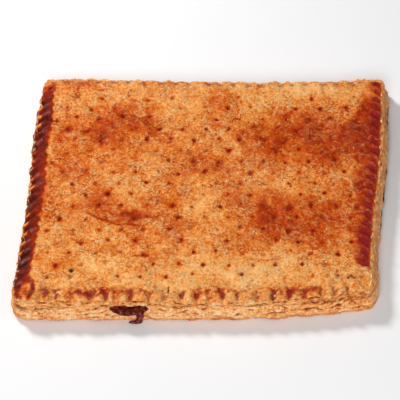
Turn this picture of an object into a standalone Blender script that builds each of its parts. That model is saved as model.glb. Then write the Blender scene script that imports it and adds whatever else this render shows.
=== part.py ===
"""A whole baked empanada: a flat, hand-shaped rectangular pie of two flaky dough sheets over one filling.

The sizes below are millimetres, and the mesh is made in metres with +Z up. The pie rests on z = 0,
its front edge faces -Y, and its origin is under the middle of its bounding box.
"""

import math

import bmesh
import bpy
from mathutils import Vector, noise
from mathutils.geometry import delaunay_2d_cdt

MM = 0.001

# Plan: the corners of the pie at its widest, anticlockwise from the front left.
CORNERS = (Vector((-159.0, -131.0)), Vector((143.5, -119.5)), Vector((164.5, 139.5)), Vector((-140.5, 140.5)))
FRONT, RIGHT, BACK, LEFT = range(4)
CORNER_CUT = (17.0, 15.0, 8.0, 8.0)  # how far along each side a corner's rounding starts
CORNER_STEPS = 5
LEAST_CUT = 3.0  # corners further in are rounded less, but never less than this
# Each side wanders from straight by up to three half waves; positive is outwards.
SIDE_WAVES = ((5.5, -1.6, 0.6), (0.5, -1.6, -0.5), (-3.2, -1.0, 0.0), (0.0, 1.2, 0.5))
CRIMP_PITCH = 10.8  # of the pressed crimps along the left and right rims
STEPS_PER_CRIMP = 4
PLAIN_STEP = 5.0  # spacing of the outline's points along the front and the back

# Heights
RIM_TOP = 24.0
CROWN = 1.6
CROWN_REACH = 70.0  # distance from the edge over which the top rises to its crown
SEAM = 14.4  # height of the joint between the two sheets along the middle of a side
SEAM_DIP = 3.6  # how much lower the joint is at the corners
SEAM_DIP_REACH = 45.0
SEAM_WAVE = 1.2
SEAM_GRAIN = 26.0
GAP = 0.3  # between pieces that touch
FLOOR = 6.5  # top of the bottom crust under the filling
CEILING = 17.5  # underside of the top crust over the filling

# Side wall, from the foot up, as (height, inset from the widest outline). The wall leans with FLARE on top.
FOOT = (0.0, 3.6)
LOWER_LIP = (2.0, 0.5)
LOWER_CREASE = (4.6, 1.5)
LOWER_BELLY = (7.4, 0.2)
SEAM_INSET = 2.6
UPPER_BELLY = (17.4, 0.7)
UPPER_LIP = (20.9, 1.8)
SHOULDER = (23.1, 6.2)
RIM_INSET = 14.0  # inner border of the rim, where the flat top starts
FLARE = (2.2, 5.2, 2.2, 0.3)  # how much further in each side's top edge lies than its foot

# Relief of the rim
CRIMP_RISE = (1.0, 0.3, -1.5, -0.5)  # a crimp's ridge, its flank, the hollow and the rise to the next ridge
CRIMP_LEAN = 7.0  # a crimp's inner end lies this much nearer the back than its outer end
LEAN_FADE = 0.16  # share of a side at each end over which the crimps straighten up
CRIMP_PUSH = (0.4, 0.0, -0.9, -0.3)  # how far out they stand at the lip
CRIMP_FADE = 0.08
LEFT_DROP = 2.6  # the left lip is pressed this much lower than the front one
LEFT_DROP_REACH = 10.0  # from the lip inwards
NOTCH_WIDTH = 2.8
NOTCH_DEPTH = (2.4, 0.0, 1.1, 0.0)  # on each side
# Where the front edge is pressed in, along X
FRONT_NOTCHES = (-133, -123, -108, -92, -80, -72, -60, -44, -32, -18, -5, 5, 16, 28, 44, 57, 70, 82, 97, 107, 118)
BACK_NOTCH_PITCH = 13.0
BACK_NOTCH_COUNT = 22
BACK_NOTCH_JITTER = 11.0
NOTCH_PUSH = 0.6  # how far a notch also pushes the edge in
LAYER_RELIEF = 1.3  # unevenness of the flaky walls
WALL_GRAIN = 11.0

# Docker holes: small pricks through the top sheet in a staggered grid
PRICK_PITCH = 20.0
PRICK_ROW = 13.2
PRICK_RADIUS = 1.5
PRICK_DEPTH = 1.5
PRICK_SIDES = 4
PRICK_START = (11.0, 5.1)  # the grid's own middle
PRICK_JITTER = 5.0
PRICK_SLANT = 0.01  # how much each row drifts to the right for each millimetre towards the back
PRICK_CLEAR = 19.0  # no prick is nearer the edge than this
SWELL = 0.7  # soft undulation of the top
SWELL_GRAIN = 42.0

# The filling and where it has burst out of the front seam
CUFF_INSETS = (8.0, 11.0, 19.0)  # the sheets lie together to the first, and the filling is full from the last
INNER_STEP = 36.0  # spacing of the points across the hidden faces
INNER_ROW = 32.0
INNER_CLEAR = 12.0
INNER_COUNT = 6  # rows and columns of them each side of the middle
BURST_CENTRE = (-61.0, -124.2, 12.6)
BURST_RADII = (16.5, 10.6, 2.8)
DRIP_BEADS = (  # (x, y, z) and radii of the beads that run down from the burst
    ((-51.8, -132.2, 9.4), (3.3, 1.9, 3.6)),
    ((-52.7, -132.7, 5.3), (2.9, 1.6, 3.1)),
    ((-55.7, -132.5, 2.5), (5.9, 1.6, 1.7)),
)
BURST_SEGMENTS = 16
DRIP_SEGMENTS = 10
BEAD_CLEARANCE = 0.35


def metres(x, y, z):
    return Vector((x * MM, y * MM, z * MM))


def smooth(value):
    value = min(max(value, 0.0), 1.0)
    return value * value * (3.0 - 2.0 * value)


def side_steps(side):
    length = (CORNERS[(side + 1) % 4] - CORNERS[side]).length
    if side in (LEFT, RIGHT):
        run = length - CORNER_CUT[side] - CORNER_CUT[(side + 1) % 4]
        return STEPS_PER_CRIMP * round(run / CRIMP_PITCH)
    return round(length / PLAIN_STEP)


def outward(side):
    along = (CORNERS[(side + 1) % 4] - CORNERS[side]).normalized()
    return Vector((along.y, -along.x))


def inset_corner(corner, insets):
    """Where the two sides that meet at a corner cross once each has moved in by its own inset."""
    before, after = (corner - 1) % 4, corner
    n1, n2 = outward(before), outward(after)
    c1 = n1.dot(CORNERS[corner]) - insets[before]
    c2 = n2.dot(CORNERS[corner]) - insets[after]
    cross = n1.x * n2.y - n1.y * n2.x
    return Vector(((c1 * n2.y - c2 * n1.y) / cross, (n1.x * c2 - n2.x * c1) / cross))


def end_fade(t, share):
    """Rises from 0 at either end of a side to 1 over this share of it."""
    return min(1.0, t / share, (1.0 - t) / share)


def side_wave(side, t):
    return sum(size * math.sin((k + 1) * math.pi * t) for k, size in enumerate(SIDE_WAVES[side]))


def ring(inset, flare=0.0, lean=0.0, every=1):
    """The outline moved in by inset, as (x, y, side, t) for each column; t is None round a corner."""
    insets = [inset + flare * FLARE[side] for side in range(4)]
    corners = [inset_corner(corner, insets) for corner in range(4)]
    cuts = [max(cut - inset, LEAST_CUT) for cut in CORNER_CUT]
    points = []
    for side in range(4):
        first, last = corners[side], corners[(side + 1) % 4]
        along = (last - first).normalized()
        start = first + along * cuts[side]
        end = last - along * cuts[(side + 1) % 4]
        steps = side_steps(side) // every
        for j in range(steps + 1):
            t = j / steps
            place = start.lerp(end, t) + outward(side) * side_wave(side, t)
            if side in (LEFT, RIGHT):
                towards_back = 1.0 if side == RIGHT else -1.0
                place += along * lean * end_fade(t, LEAN_FADE) * towards_back
            points.append((place.x, place.y, side, t))
        after = (corners[(side + 2) % 4] - last).normalized() * cuts[(side + 1) % 4]
        corner_steps = max(CORNER_STEPS // every, 2)
        for j in range(1, corner_steps):
            t = j / corner_steps
            place = (end * (1 - t) + last * t) * (1 - t) + (last * (1 - t) + (last + after) * t) * t
            points.append((place.x, place.y, side, None))
    return points


def side_distance(side, x, y):
    """Distance in from one side of the plan, measured from its wandering edge."""
    first, last = CORNERS[side], CORNERS[(side + 1) % 4]
    place = Vector((x, y))
    t = (place - first).dot(last - first) / (last - first).length_squared
    return outward(side).dot(first - place) + side_wave(side, min(max(t, 0.0), 1.0))


def edge_distance(x, y):
    """Distance in from the nearest side of the plan."""
    return min(side_distance(side, x, y) for side in range(4))


def top_height(x, y):
    rise = CROWN * smooth((edge_distance(x, y) - RIM_INSET) / CROWN_REACH)
    swell = SWELL * noise.noise(Vector((x / SWELL_GRAIN, y / SWELL_GRAIN, 3.0)))
    return RIM_TOP + rise + swell


def seam_height(x, y):
    """The height where the bottom sheet's rim ends. It dips towards the corners and wavers on the way."""
    nearest = min((Vector((x, y)) - corner).length for corner in CORNERS)
    waver = SEAM_WAVE * noise.noise(Vector((x / SEAM_GRAIN, y / SEAM_GRAIN, 6.0)))
    return SEAM - SEAM_DIP * math.exp(-((nearest / SEAM_DIP_REACH) ** 2)) + waver


def crimp_phase(side, t):
    """Which of a crimp's columns this is, on a rim that has crimps."""
    if side not in (LEFT, RIGHT) or t is None:
        return None
    return round(t * side_steps(side)) % STEPS_PER_CRIMP


def back_notches():
    """Where the back edge is pressed in, along X, at uneven spaces."""
    centres = []
    for k in range(BACK_NOTCH_COUNT):
        jitter = BACK_NOTCH_JITTER * noise.noise(Vector((k * 1.7, 5.0, 0.0)))
        centres.append((k - BACK_NOTCH_COUNT / 2) * BACK_NOTCH_PITCH + jitter)
    return centres


def notch(x, side):
    """How deep the front or back edge is pressed in at x, from 0 to 1."""
    if side not in (FRONT, BACK):
        return 0.0
    centres = FRONT_NOTCHES if side == FRONT else back_notches()
    return max(math.exp(-((x - centre) / NOTCH_WIDTH) ** 2) for centre in centres)


def wall_wobble(x, y, z):
    return LAYER_RELIEF * noise.noise(Vector((x / WALL_GRAIN, y / WALL_GRAIN, z / 3.0)))


def seam_vertices(bm, lift):
    """The ring where the two sheets meet, lifted by lift."""
    return [bm.verts.new(metres(x, y, seam_height(x, y) + lift)) for x, y, _, _ in ring(SEAM_INSET, flare=0.5)]


def ring_vertices(bm, level, flare, crimped=0.0, lean=0.0):
    """One ring of the outer wall at a (height, inset) level, with the rim's crimps and notches."""
    height, inset = level
    vertices = []
    for x, y, side, t in ring(inset, flare, lean):
        out = outward(side)
        push = wall_wobble(x, y, height) if height > 0.0 else 0.0
        z = height
        if crimped:
            phase = crimp_phase(side, t)
            if phase is not None:
                fade = end_fade(t, CRIMP_FADE) * crimped
                z += CRIMP_RISE[phase] * fade
                push += CRIMP_PUSH[phase] * fade
            if side == LEFT:
                z -= LEFT_DROP * crimped * (1.0 - smooth((inset - UPPER_LIP[1]) / LEFT_DROP_REACH))
            pressed = notch(x, side) * crimped
            z -= NOTCH_DEPTH[side] * pressed
            push -= NOTCH_PUSH * pressed
        vertices.append(bm.verts.new(metres(x + out.x * push, y + out.y * push, z)))
    return vertices


def add_wall(bm, lower, upper):
    """The strip of quads between two rings of the same number of vertices, facing outwards."""
    count = len(lower)
    for i in range(count):
        j = (i + 1) % count
        bm.faces.new((lower[i], lower[j], upper[j], upper[i]))


def add_cover(bm, boundary, inner, height, facing_up, loops=()):
    """A Delaunay cover over a ring of vertices, with its inner points lifted to height(x, y).

    Each loop is a closed run of the inner points, as indices, whose edges the cover keeps.
    """
    flat = [vertex.co.to_2d() / MM for vertex in boundary] + [Vector(point[:2]) for point in inner]
    count = len(boundary)
    edges = [(i, (i + 1) % count) for i in range(count)]
    for loop in loops:
        edges += [(count + a, count + b) for a, b in zip(loop, loop[1:] + loop[:1])]
    places, _, faces, origins, _, _ = delaunay_2d_cdt(flat, edges, [list(range(count))], 1, 1e-6)
    vertices = []
    for place, origin in zip(places, origins):
        if origin and origin[0] < count:
            vertices.append(boundary[origin[0]])
        else:
            depth = inner[origin[0] - count][2] if origin and len(inner[origin[0] - count]) > 2 else 0.0
            vertices.append(bm.verts.new(metres(place.x, place.y, height(place.x, place.y) - depth)))
    for face in faces:
        corners = [vertices[i] for i in face]
        bm.faces.new(corners if facing_up else corners[::-1])


def inner_grid(clear):
    """Points of a plain grid over the plan, no nearer the edge than clear."""
    points = []
    for i in range(-INNER_COUNT, INNER_COUNT + 1):
        for j in range(-INNER_COUNT, INNER_COUNT + 1):
            x, y = (i + 0.5 * (j % 2)) * INNER_STEP, j * INNER_ROW
            if edge_distance(x, y) > clear:
                points.append((x, y))
    return points


def pricks():
    """Centres of the docker holes, (x, y)."""
    centres = []
    for row in range(-11, 12):
        for column in range(-9, 10):
            x = PRICK_START[0] + (column + 0.5 * (row % 2)) * PRICK_PITCH
            y = PRICK_START[1] + row * PRICK_ROW
            seed = Vector((column * 3.1, row * 2.3, 8.0))
            x += PRICK_JITTER * noise.noise(seed) + PRICK_SLANT * y
            y += PRICK_JITTER * noise.noise(seed + Vector((0.0, 0.0, 9.0)))
            if edge_distance(x, y) > PRICK_CLEAR:
                centres.append((x, y))
    return centres


def prick_points():
    """Every docker hole as the corners of its mouth and its deep middle."""
    points = []
    for x, y in pricks():
        points.append((x, y, PRICK_DEPTH))
        for k in range(PRICK_SIDES):
            angle = 2.0 * math.pi * (k + 0.5) / PRICK_SIDES
            points.append((x + PRICK_RADIUS * math.cos(angle), y + PRICK_RADIUS * math.sin(angle)))
    return points


def cuff_share(x, y):
    """0 where the two sheets lie together at the rim, 1 where the filling between them is at its full height."""
    start, end = CUFF_INSETS[0], CUFF_INSETS[-1]
    return smooth((edge_distance(x, y) - start) / (end - start))


def floor_height(x, y):
    seam = seam_height(x, y)
    return seam + (FLOOR - seam) * cuff_share(x, y)


def ceiling_height(x, y):
    seam = seam_height(x, y) + GAP
    return seam + (CEILING - seam) * cuff_share(x, y)


def hidden_points(insets):
    """Rings and a grid for the faces inside, the same for each piece so that their gaps stay even."""
    points, loops = [], []
    for inset in insets:
        start = len(points)
        points += [(x, y) for x, y, _, _ in ring(inset, flare=1.0, every=4)]
        loops.append(list(range(start, len(points))))
    return points + inner_grid(CUFF_INSETS[-1] + INNER_CLEAR), loops


def new_object(name, bm, collection, material):
    mesh = bpy.data.meshes.new(name)
    bm.to_mesh(mesh)
    bm.free()
    mesh.shade_smooth()
    mesh.set_sharp_from_angle(angle=math.radians(50.0))
    if material:
        mesh.materials.append(material)
    obj = bpy.data.objects.new(name, mesh)
    collection.objects.link(obj)
    return obj


def pastry_material(name, colour, roughness):
    material = bpy.data.materials.new(name)
    material.use_nodes = True
    shader = material.node_tree.nodes["Principled BSDF"]
    shader.inputs["Base Color"].default_value = (*colour, 1.0)
    shader.inputs["Roughness"].default_value = roughness
    shader.inputs["Metallic"].default_value = 0.0
    return material


def make_bottom_crust(collection):
    bm = bmesh.new()
    foot = ring_vertices(bm, FOOT, flare=0.0)
    lip = ring_vertices(bm, LOWER_LIP, flare=0.05)
    crease = ring_vertices(bm, LOWER_CREASE, flare=0.1)
    belly = ring_vertices(bm, LOWER_BELLY, flare=0.2)
    seam = seam_vertices(bm, 0.0)
    for lower, upper in ((foot, lip), (lip, crease), (crease, belly), (belly, seam)):
        add_wall(bm, lower, upper)
    add_cover(bm, foot, inner_grid(INNER_CLEAR), lambda x, y: 0.0, facing_up=False)
    points, loops = hidden_points(CUFF_INSETS)
    add_cover(bm, seam, points, floor_height, facing_up=True, loops=loops)
    return new_object("bottom_crust", bm, collection, pastry_material("pale_crust", (0.70, 0.41, 0.17), 0.75))


def make_top_crust(collection):
    bm = bmesh.new()
    seam = seam_vertices(bm, GAP)
    belly = ring_vertices(bm, UPPER_BELLY, flare=0.75)
    lip = ring_vertices(bm, UPPER_LIP, flare=1.0, crimped=0.9)
    shoulder = ring_vertices(bm, SHOULDER, flare=1.0, crimped=1.0, lean=0.5 * CRIMP_LEAN)
    rim = ring_vertices(bm, (RIM_TOP, RIM_INSET), flare=1.0, crimped=0.15, lean=CRIMP_LEAN)
    for lower, upper in ((seam, belly), (belly, lip), (lip, shoulder), (shoulder, rim)):
        add_wall(bm, lower, upper)
    add_cover(bm, rim, prick_points(), top_height, facing_up=True)
    points, loops = hidden_points(CUFF_INSETS)
    add_cover(bm, seam, points, ceiling_height, facing_up=False, loops=loops)
    return new_object("top_crust", bm, collection, pastry_material("golden_crust", (0.66, 0.30, 0.085), 0.6))


def make_filling(collection):
    """The filling as one slab between the sheets, thinner round its edge."""
    bm = bmesh.new()
    points, loops = hidden_points(CUFF_INSETS[1:])
    edge = loops[0]
    rest = points[len(edge):]
    kept = [[i - len(edge) for i in loop] for loop in loops[1:]]
    lower = [bm.verts.new(metres(x, y, floor_height(x, y) + GAP)) for x, y in points[: len(edge)]]
    upper = [bm.verts.new(metres(x, y, ceiling_height(x, y) - GAP)) for x, y in points[: len(edge)]]
    add_wall(bm, lower, upper)
    add_cover(bm, lower, rest, lambda x, y: floor_height(x, y) + GAP, facing_up=False, loops=kept)
    add_cover(bm, upper, rest, lambda x, y: ceiling_height(x, y) - GAP, facing_up=True, loops=kept)
    return new_object("filling", bm, collection, pastry_material("burnt_filling", (0.05, 0.012, 0.01), 0.35))


def add_bead(name, centre, radii, segments, grow, collection):
    """One bead of the burst: a sphere stretched to its radii."""
    bm = bmesh.new()
    bmesh.ops.create_uvsphere(bm, u_segments=segments, v_segments=segments // 2, radius=1.0)
    for vertex in bm.verts:
        stretched = [centre[k] + vertex.co[k] * (radii[k] + grow) for k in range(3)]
        vertex.co = metres(*stretched)
    bead = new_object(name, bm, collection, None)
    bead.hide_render = True
    bead.display_type = "WIRE"
    return bead


def add_burst(collection, grow):
    add_bead(f"{collection.name}_lens", BURST_CENTRE, BURST_RADII, BURST_SEGMENTS, grow, collection)
    for number, (centre, radii) in enumerate(DRIP_BEADS):
        add_bead(f"{collection.name}_{number}", centre, radii, DRIP_SEGMENTS, grow, collection)


def add_boolean(obj, operation, collection):
    modifier = obj.modifiers.new(operation.lower(), "BOOLEAN")
    modifier.operation = operation
    modifier.operand_type = "COLLECTION"
    modifier.collection = collection
    modifier.solver = "EXACT"


def centre_on_origin(pieces, helpers):
    """Puts the middle of the pieces' bounding box over the origin."""
    bpy.context.view_layer.update()
    graph = bpy.context.evaluated_depsgraph_get()
    corners = [Vector(corner) for piece in pieces for corner in piece.evaluated_get(graph).bound_box]
    middle = [(min(c[k] for c in corners) + max(c[k] for c in corners)) / 2.0 for k in range(2)]
    for obj in pieces + helpers:
        obj.location = (-middle[0], -middle[1], 0.0)


def new_collection(name):
    collection = bpy.data.collections.new(name)
    bpy.context.scene.collection.children.link(collection)
    return collection


def main():
    for obj in list(bpy.data.objects):
        bpy.data.objects.remove(obj)
    empanada = new_collection("empanada")
    beads = new_collection("burst_beads")
    cutters = new_collection("burst_cutters")
    add_burst(beads, 0.0)
    add_burst(cutters, BEAD_CLEARANCE)
    bottom = make_bottom_crust(empanada)
    top = make_top_crust(empanada)
    filling = make_filling(empanada)
    add_boolean(filling, "UNION", beads)
    add_boolean(bottom, "DIFFERENCE", cutters)
    add_boolean(top, "DIFFERENCE", cutters)
    centre_on_origin([bottom, top, filling], list(beads.objects) + list(cutters.objects))


main()
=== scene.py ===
"""The looks of a whole baked empanada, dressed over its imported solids.

Sizes are millimetres in the plan frame of the solids' own source, and new_piece() turns them into metres
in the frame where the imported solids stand. +Z is up and the front edge faces -Y.
"""

import itertools
import math

import bmesh
import bpy
import numpy as np
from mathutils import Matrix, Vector, noise
from mathutils.geometry import delaunay_2d_cdt


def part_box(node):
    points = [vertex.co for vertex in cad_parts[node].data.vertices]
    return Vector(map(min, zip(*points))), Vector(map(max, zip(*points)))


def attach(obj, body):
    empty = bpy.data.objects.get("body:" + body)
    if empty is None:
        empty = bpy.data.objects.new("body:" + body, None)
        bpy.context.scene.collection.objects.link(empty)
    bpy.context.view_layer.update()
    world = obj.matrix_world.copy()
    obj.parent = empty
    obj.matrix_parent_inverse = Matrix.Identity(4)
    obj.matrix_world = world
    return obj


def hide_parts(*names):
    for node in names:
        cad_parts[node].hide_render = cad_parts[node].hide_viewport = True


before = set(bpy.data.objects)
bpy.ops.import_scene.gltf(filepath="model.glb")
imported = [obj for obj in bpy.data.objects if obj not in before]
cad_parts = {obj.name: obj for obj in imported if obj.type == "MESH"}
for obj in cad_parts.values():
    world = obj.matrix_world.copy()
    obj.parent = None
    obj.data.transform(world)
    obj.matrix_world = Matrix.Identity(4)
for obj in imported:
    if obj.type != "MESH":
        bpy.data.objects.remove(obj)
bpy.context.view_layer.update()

MM = 0.001

# ---- Sizes that the solids have too ----

CORNERS = np.array(((-159.0, -131.0), (143.5, -119.5), (164.5, 139.5), (-140.5, 140.5)))
FRONT, RIGHT, BACK, LEFT = range(4)
CORNER_CUT = np.array((17.0, 15.0, 8.0, 8.0))  # how far along each side a corner's rounding starts
LEAST_CUT = 3.0
SIDE_WAVES = ((5.5, -1.6, 0.6), (0.5, -1.6, -0.5), (-3.2, -1.0, 0.0), (0.0, 1.2, 0.5))
CRIMP_PITCH = 10.8
RIM_TOP = 24.0
CROWN = 1.6
CROWN_REACH = 70.0
SEAM = 14.4
SEAM_DIP = 3.6
SEAM_DIP_REACH = 45.0
SEAM_WAVE = 1.2
SEAM_GRAIN = 26.0
SEAM_INSET = 2.6
SEAM_FLARE = 0.5
SEAM_TUCK = 0.8  # how much further in each sheet ends at the seam
GAP = 0.3
FLOOR = 6.5
CEILING = 17.5
RIM_INSET = 14.0
FLARE = np.array((2.2, 5.2, 2.2, 0.3))  # how much further in each side's top edge lies than its foot
CRIMP_RISE = (1.0, 0.3, -1.5, -0.5)  # a crimp's ridge, its flank, the hollow and the rise to the next ridge
CRIMP_PUSH = (0.4, 0.0, -0.9, -0.3)
CRIMP_LEAN = 7.0
LEAN_FADE = 0.16
CRIMP_FADE = 0.08
LEFT_DROP = 2.6
LEFT_DROP_REACH = 10.0
LIP_INSET = 2.0
NOTCH_WIDTH = 2.8
NOTCH_DEPTH = np.array((2.4, 0.0, 1.1, 0.0))
NOTCH_PUSH = 0.6
LOBE_RISE = 0.9  # how far the front edge puffs up and out between its notches
LOBE_PUSH = 1.0
FRONT_NOTCHES = (
    -133, -123, -108, -92, -80, -72, -60, -44, -32, -18, -5,
    5, 16, 28, 44, 57, 70, 82, 97, 107, 118,
)
BACK_NOTCH_PITCH = 13.0
BACK_NOTCH_COUNT = 22
BACK_NOTCH_JITTER = 11.0
LAYER_RELIEF = 1.3
WALL_GRAIN = 11.0
PRICK_PITCH = 20.0
PRICK_ROW = 13.2
PRICK_START = (11.0, 5.1)
PRICK_JITTER = 5.0
PRICK_SLANT = 0.01
PRICK_CLEAR = 19.0
SWELL = 0.7
SWELL_GRAIN = 42.0
CUFF_INSETS = (8.0, 19.0)
BURST_CENTRE = (-61.0, -124.2, 12.6)
BURST_RADII = (16.5, 10.6, 2.8)
BURST_RECESS = 6.5  # how far the wall steps back around the burst
DRIP_BEADS = (
    ((-51.8, -132.2, 9.4), (3.3, 1.9, 3.6)),
    ((-52.7, -132.7, 5.3), (2.9, 1.6, 3.1)),
    ((-55.7, -132.5, 2.5), (5.9, 1.6, 1.7)),
)

# Levels of the side wall, from the foot up: (height, inset, share of the flare, share of the crimps)
LOWER_LEVELS = ((0.0, 3.6, 0.0, 0.0), (2.0, 0.5, 0.05, 0.0), (4.6, 1.5, 0.1, 0.0), (7.4, 0.2, 0.2, 0.0))
UPPER_LEVELS = ((17.4, 0.7, 0.75, 0.0), (20.9, 1.8, 1.0, 0.9), (23.1, 6.2, 1.0, 1.0), (24.0, 14.0, 1.0, 0.15))
BELLY = LOWER_LEVELS[3]

# ---- How finely the looks are made ----

COLUMN = 1.05  # spacing of the columns round the outline
CORNER_COLUMNS = 16
LOWER_STEPS = (4, 5, 5, 12)  # rings between one level and the next
UPPER_STEPS = (5, 7, 6, 7)
GRID = 1.12  # spacing of the points across the top
GRID_ROW = 0.87  # spacing of its rows, in shares of GRID
HOLE_CLEAR = 1.5  # no point of the grid lies nearer to the middle of a docker hole
HOLE_RINGS = (0.55, 1.1)
HOLE_POINTS = 7
HIDDEN_GRID = 12.0
BURST_VOXEL = 0.42
BUBBLES = 46  # in the burst filling
WALL_FLAKES = 620
TOP_FLAKES = 420
TOP_FLAKE_CHOICES = 9000
FLAKE_THICKNESS = 0.22

# ---- Where the looks change ----

FRONT_STRIP = -110.0  # nearer to the front than this y lies the front wall
SKIN_RINGS = (11.0, 5.0)  # ring of the upper wall where the top's relief starts, and how many it takes
SIDE_RINGS = (13.5, 3.0)  # ring where the colours of the wall end, and how many rings they take to fade
SIDE_LAYERS = np.array((1.0, 0.95, 0.8, 0.15))  # how much of each upper wall is pale layers, not baked skin
SIDE_TONE = np.array((0.0, -0.04, 0.0, -0.1))
RIGHT_FRONT_TONE = 0.14  # how much darker the layers of the front wall are at its right end
LOWER_TONE = 0.1  # how much paler the layers of the lower sheet are
LOWER_BAKED = np.array((0.0, 0.55, 0.4, 0.8))  # how much of each lower wall is baked skin
SLAB_RIM = 11.0
SLAB_INSET = 20.0
MEAN_BAKED = 0.48  # the top away from its toasted patches, from 0, pale, to 1, burnt

# Blisters of the top skin: x, y, radius of the wrinkled ring round each
BLISTERS = (
    (-64, 100, 11), (-46, 82, 9), (-84, 108, 8), (-108, 24, 9), (-96, -8, 10), (-20, -62, 10),
    (46, 24, 10), (14, 72, 9), (72, -70, 11), (110, -108, 8), (126, -110, 6), (60, 108, 9),
)
# Raised pale cracks of the top skin, each a bent line through its points
VEINS = (
    ((-94, 130), (-80, 119), (-71, 109), (-57, 100), (-52, 90), (-57, 80)),
    ((-71, 109), (-67, 124)),
    ((-71, 109), (-79, 100), (-84, 88)),
    ((60, -91), (72, -83), (86, -77)),
    ((106, -91), (116, -96), (130, -94), (138, -100)),
    ((130, -94), (136, -82)),
    ((66, 106), (82, 118), (118, 112)),
    ((66, 106), (62, 88)),
    ((-118, 6), (-106, -2), (-96, 2)),
    ((-112, 42), (-104, 24), (-108, 12)),
    ((112, 14), (122, 8), (126, -8)),
    ((-30, -52), (-14, -60), (4, -58)),
)
# How dark the print in each notch of the front edge is
PRINT_STRENGTHS = (
    0.85, 1.0, 0.4, 0.85, 1.1, 0.6, 1.0, 0.6, 0.5, 0.85, 0.75,
    0.7, 1.0, 0.85, 0.8, 1.0, 1.1, 1.1, 0.6, 0.8, 0.6,
)
LONG_PRINTS = 2  # the first prints from the left, which reach further in than the rest
# Where haze lies between the prints: x, reach, strength
HAZES = ((-94, 26, 1.3), (-46, 20, 0.6), (14, 30, 0.8), (76, 20, 1.1))
TONGUE = (-146.5, -113.0)  # middle of the fold in the front left corner
# Burnt holes and nicks of the top: x, y, reach along x, reach along y
BURNT_SPOTS = (
    (-108.8, -93.2, 1.9, 1.7),
    (121.0, -99.0, 1.5, 1.0),
    (118.6, -101.4, 0.9, 1.3),
    (123.2, -101.0, 1.0, 0.8),
    (-28.8, -114.5, 0.6, 3.2),
    (-134.0, 124.0, 1.6, 2.4),
)
# Creases of the top: from x, y, to x, y, how far the middle sags, width
FOLDS = (
    (-101, -26, -49, -45, 5.0, 1.3),
    (-65, -81, -44, -78, -1.5, 1.0),
    (-70, -30, -42, -33, 1.0, 3.0),
    (36, -82, 64, -80, 2.0, 1.2),
)
# Patches of the top that are baked more or less than the rest: x, y, reach along x, reach along y, strength.
# A few also hold painted shadow and painted sheen, as noted below.
TOAST_AND_PAINTED_LIGHT = (
    (-80, 74, 30, 22, 0.18),
    (-98, 86, 26, 28, 0.08),
    # baked more, and partly a painted cast shadow
    (-60, -34, 26, 14, 0.22),
    (-90, -8, 30, 26, 0.09),
    (108, 62, 48, 36, 0.28),
    (60, 62, 28, 26, 0.15),
    # these two are baked more, and partly a painted cast shadow
    (112, -34, 46, 30, 0.33),
    (60, -36, 24, 22, 0.35),
    (10, 30, 50, 34, 0.10),
    (0, -106, 150, 18, -0.14),
    (118, -98, 30, 14, -0.08),
    (108, -121, 34, 8, 0.1),
    (60, -84, 70, 16, -0.07),
    (-90, -94, 34, 14, -0.07),
    (-56, -102, 34, 12, -0.09),
    (-118, -68, 30, 26, -0.09),
    (-114, 30, 16, 26, 0.09),
    (-128, -24, 14, 26, 0.13),
    (-72, 116, 26, 14, -0.12),
    # these two are paler, partly less baked and partly a painted sheen
    (0, 120, 60, 16, -0.02),
    (76, 122, 46, 18, -0.2),
    (86, 44, 16, 16, -0.12),
    (114, 44, 16, 18, 0.12),
    (140, 90, 10, 26, 0.1),
)


# ---- Random fields ----

TABLE = np.random.default_rng(20).uniform(-1.0, 1.0, 65536)


def smooth(value):
    value = np.clip(value, 0.0, 1.0)
    return value * value * (3.0 - 2.0 * value)


def bell(value):
    return np.exp(-np.square(value))


def lattice(ix, iy, iz, seed):
    """The random number that belongs to a point of the integer lattice."""
    return TABLE[(ix * 4391 + iy * 28657 + iz * 51787 + seed * 7919) % TABLE.size]


def field(x, y, z, seed):
    """A smooth random field from -1 to 1, with about one bump to each unit."""
    x, y, z = np.broadcast_arrays(x, y, z)
    cells = [np.floor(v).astype(np.int64) for v in (x, y, z)]
    shares = [smooth(v - cell) for v, cell in zip((x, y, z), cells)]
    total = np.zeros(x.shape)
    for corner in itertools.product((0, 1), repeat=3):
        weight = 1.0
        for share, step in zip(shares, corner):
            weight = weight * (share if step else 1 - share)
        total += weight * lattice(*(cell + step for cell, step in zip(cells, corner)), seed)
    return total


def octaves(x, y, grain, seed, count=2):
    """Layers of the field, each turned and half as coarse and as strong as the one before."""
    total, strength, most = 0.0, 1.0, 0.0
    for layer in range(count):
        c, s = math.cos(1.1 * layer + 0.4), math.sin(1.1 * layer + 0.4)
        turned_x, turned_y = x * c - y * s, x * s + y * c
        total = total + strength * field(turned_x / grain, turned_y / grain, 0.0, seed + layer)
        most += strength
        grain, strength = 0.5 * grain, 0.5 * strength
    return total / most


def cells(x, y, grain, seed):
    """For jittered cells: each point's distance to the border of its cell, and the cell's number."""
    ix, iy = np.floor(x / grain).astype(np.int64), np.floor(y / grain).astype(np.int64)
    nearest, second, number = np.full(x.shape, 1e9), np.full(x.shape, 1e9), np.zeros(x.shape)
    for dx, dy in itertools.product((-1, 0, 1), repeat=2):
        cx, cy = ix + dx, iy + dy
        px = (cx + 0.5 + 0.45 * lattice(cx, cy, 1, seed)) * grain
        py = (cy + 0.5 + 0.45 * lattice(cx, cy, 2, seed)) * grain
        distance = np.hypot(x - px, y - py)
        closer = distance < nearest
        second = np.where(closer, nearest, np.minimum(second, distance))
        number = np.where(closer, lattice(cx, cy, 3, seed), number)
        nearest = np.where(closer, distance, nearest)
    return 0.5 * (second - nearest), number


def solid_noise(x, y, z):
    """The noise that the solids' own waves use."""
    x, y, z = np.broadcast_arrays(x, y, z)
    values = [noise.noise(Vector(place)) for place in zip(x.ravel(), y.ravel(), z.ravel())]
    return np.array(values).reshape(x.shape)


# ---- The plan ----

def along(side):
    run = CORNERS[(side + 1) % 4] - CORNERS[side]
    return run / np.linalg.norm(run)


def outward(side):
    ax, ay = along(side)
    return np.array((ay, -ax))


def side_length(side):
    return np.linalg.norm(CORNERS[(side + 1) % 4] - CORNERS[side])


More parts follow.
